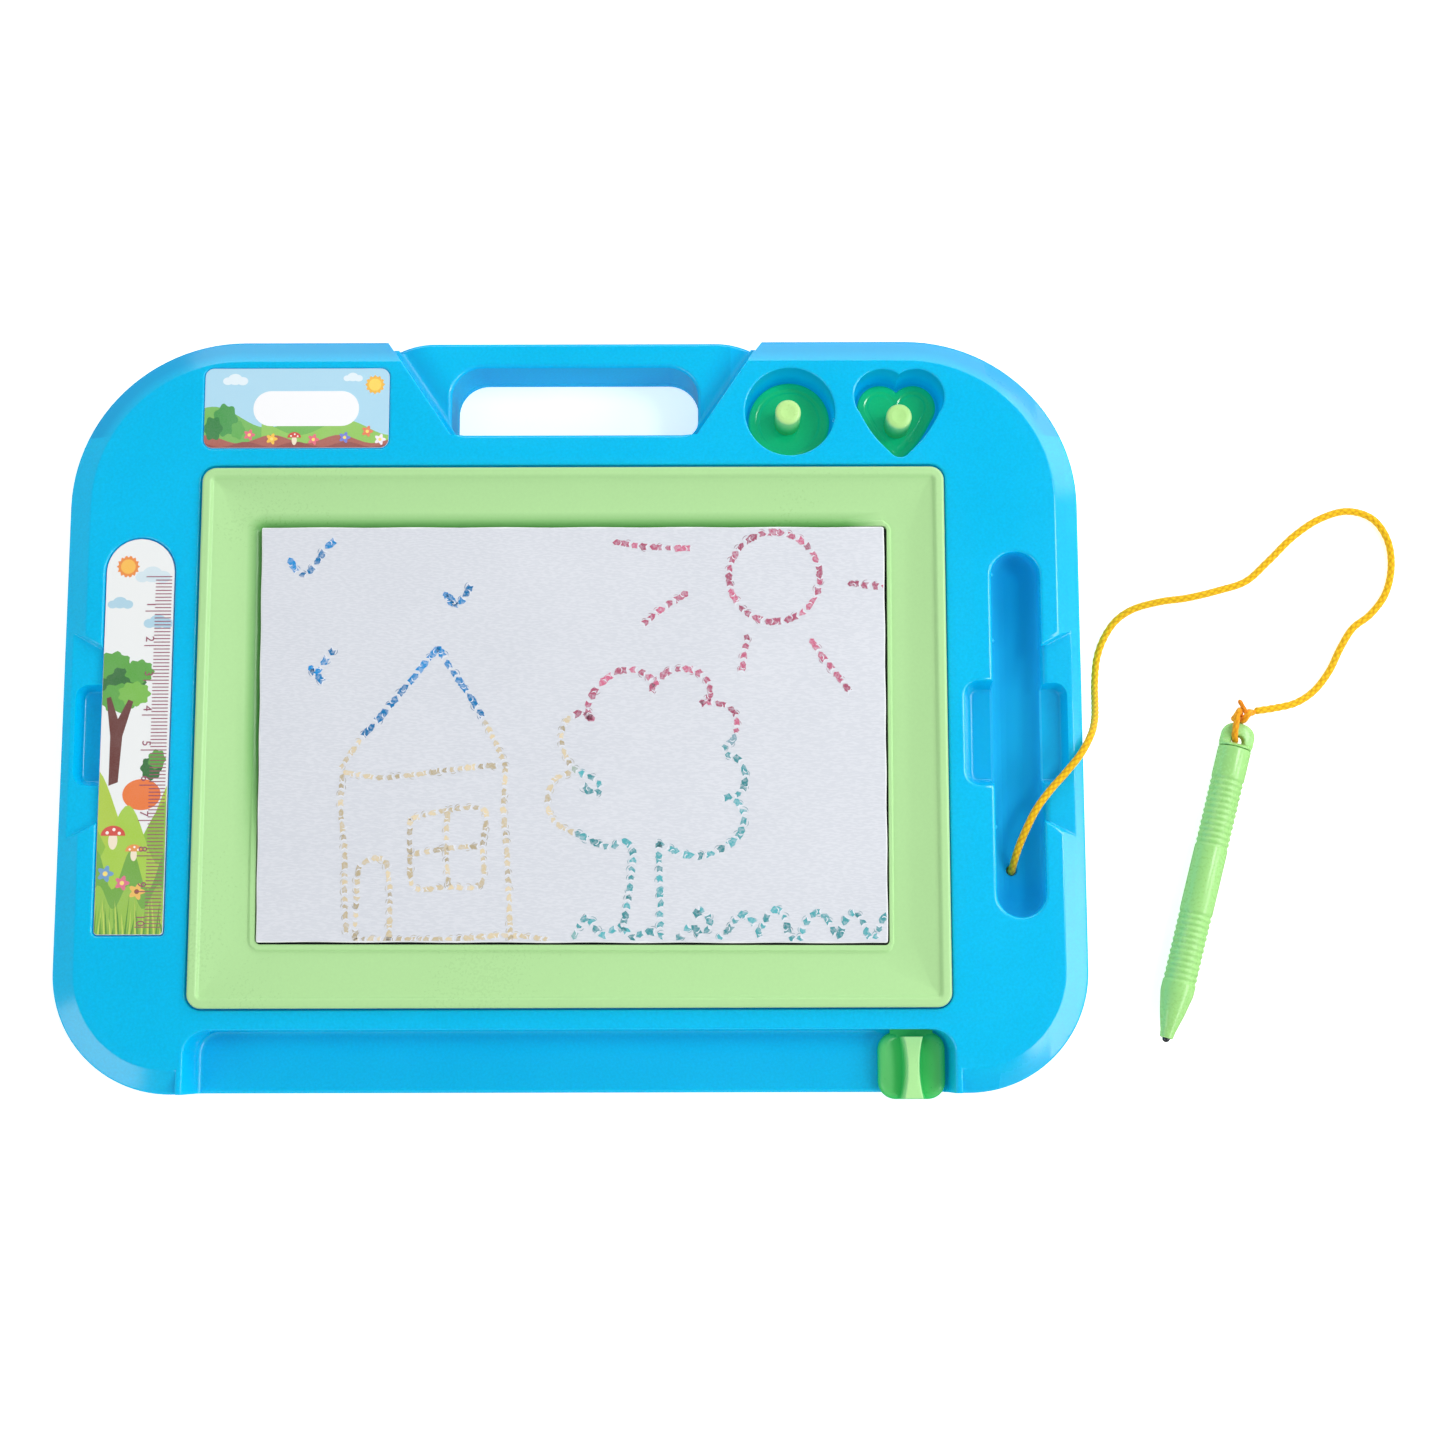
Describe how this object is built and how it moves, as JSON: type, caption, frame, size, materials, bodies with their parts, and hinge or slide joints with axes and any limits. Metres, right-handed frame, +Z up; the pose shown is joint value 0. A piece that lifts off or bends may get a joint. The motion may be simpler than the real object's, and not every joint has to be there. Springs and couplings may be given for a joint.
{
  "type": "magnetic drawing board",
  "caption": "Child's magnetic drawing board in a plastic case with a carrying handle, a framed screen, a sliding eraser, stamps, a ruler and a pen on a cord.",
  "frame": {"origin": "middle of the board's flat underside, with the board lying on its back", "axes": "+X along the board's width to the pen tray, +Y towards the carrying handle, +Z up out of the screen"},
  "size_m": [0.3869, 0.2179, 0.0267],
  "materials": {
    "blue_plastic": "satin, finely pearled",
    "light_green_plastic": "satin",
    "mid_green_plastic": "satin",
    "dark_green_plastic": "gloss, slightly see-through",
    "pen_green_plastic": "satin, slightly see-through",
    "screen_film": "matt with fine embossed dashes",
    "white_plastic": "satin",
    "magnet": "matt",
    "printed_label": "printed, gloss laminate",
    "steel": "polished",
    "screw_steel": "zinc plated",
    "cord_yarn": "braided yarn"
  },
  "bodies": {
    "board": {"top_shell": "blue_plastic", "back_cover": "blue_plastic", "screen_frame": "light_green_plastic", "screen_front_film": "screen_film", "screen_cell_core": "white_plastic", "screen_back_film": "screen_film", "name_card": "printed_label", "eraser_rail_top": "white_plastic", "eraser_rail_bottom": "white_plastic", "pen_cord": "cord_yarn", "cord_anchor_knot": "cord_yarn", "back_screw_1": "screw_steel", "back_screw_2": "screw_steel", "back_screw_3": "screw_steel", "back_screw_4": "screw_steel", "back_screw_5": "screw_steel", "back_screw_6": "screw_steel", "back_screw_7": "screw_steel", "back_screw_8": "screw_steel"},
    "eraser": {"slider_knob": "mid_green_plastic", "eraser_bar": "white_plastic", "eraser_magnet_strip": "magnet"},
    "ruler": {"ruler_plate": "white_plastic", "ruler_print": "printed_label"},
    "circle_stamp": {"circle_stamp_body": "dark_green_plastic", "circle_stamp_knob": "light_green_plastic", "circle_stamp_magnet": "magnet"},
    "heart_stamp": {"heart_stamp_body": "dark_green_plastic", "heart_stamp_knob": "light_green_plastic", "heart_stamp_magnet": "magnet"},
    "pen": {"pen_barrel": "pen_green_plastic", "pen_end_cap": "pen_green_plastic", "pen_magnet_core": "magnet", "pen_tip": "steel", "pen_knot": "cord_yarn"}
  },
  "joints": [
    {"name": "eraser_slide", "type": "slide", "parent": "board", "child": "eraser", "axis": [-1, 0, 0], "range_m": [0, 0.19]},
    {"name": "ruler_lift", "type": "slide", "parent": "board", "child": "ruler", "axis": [0, 0, 1], "range_m": [0, 0.04]},
    {"name": "circle_stamp_lift", "type": "slide", "parent": "board", "child": "circle_stamp", "axis": [0, 0, 1], "range_m": [0, 0.05]},
    {"name": "heart_stamp_lift", "type": "slide", "parent": "board", "child": "heart_stamp", "axis": [0, 0, 1], "range_m": [0, 0.05]},
    {"name": "pen_lift", "type": "slide", "parent": "board", "child": "pen", "axis": [0, 0, 1], "range_m": [0, 0.03]}
  ]
}
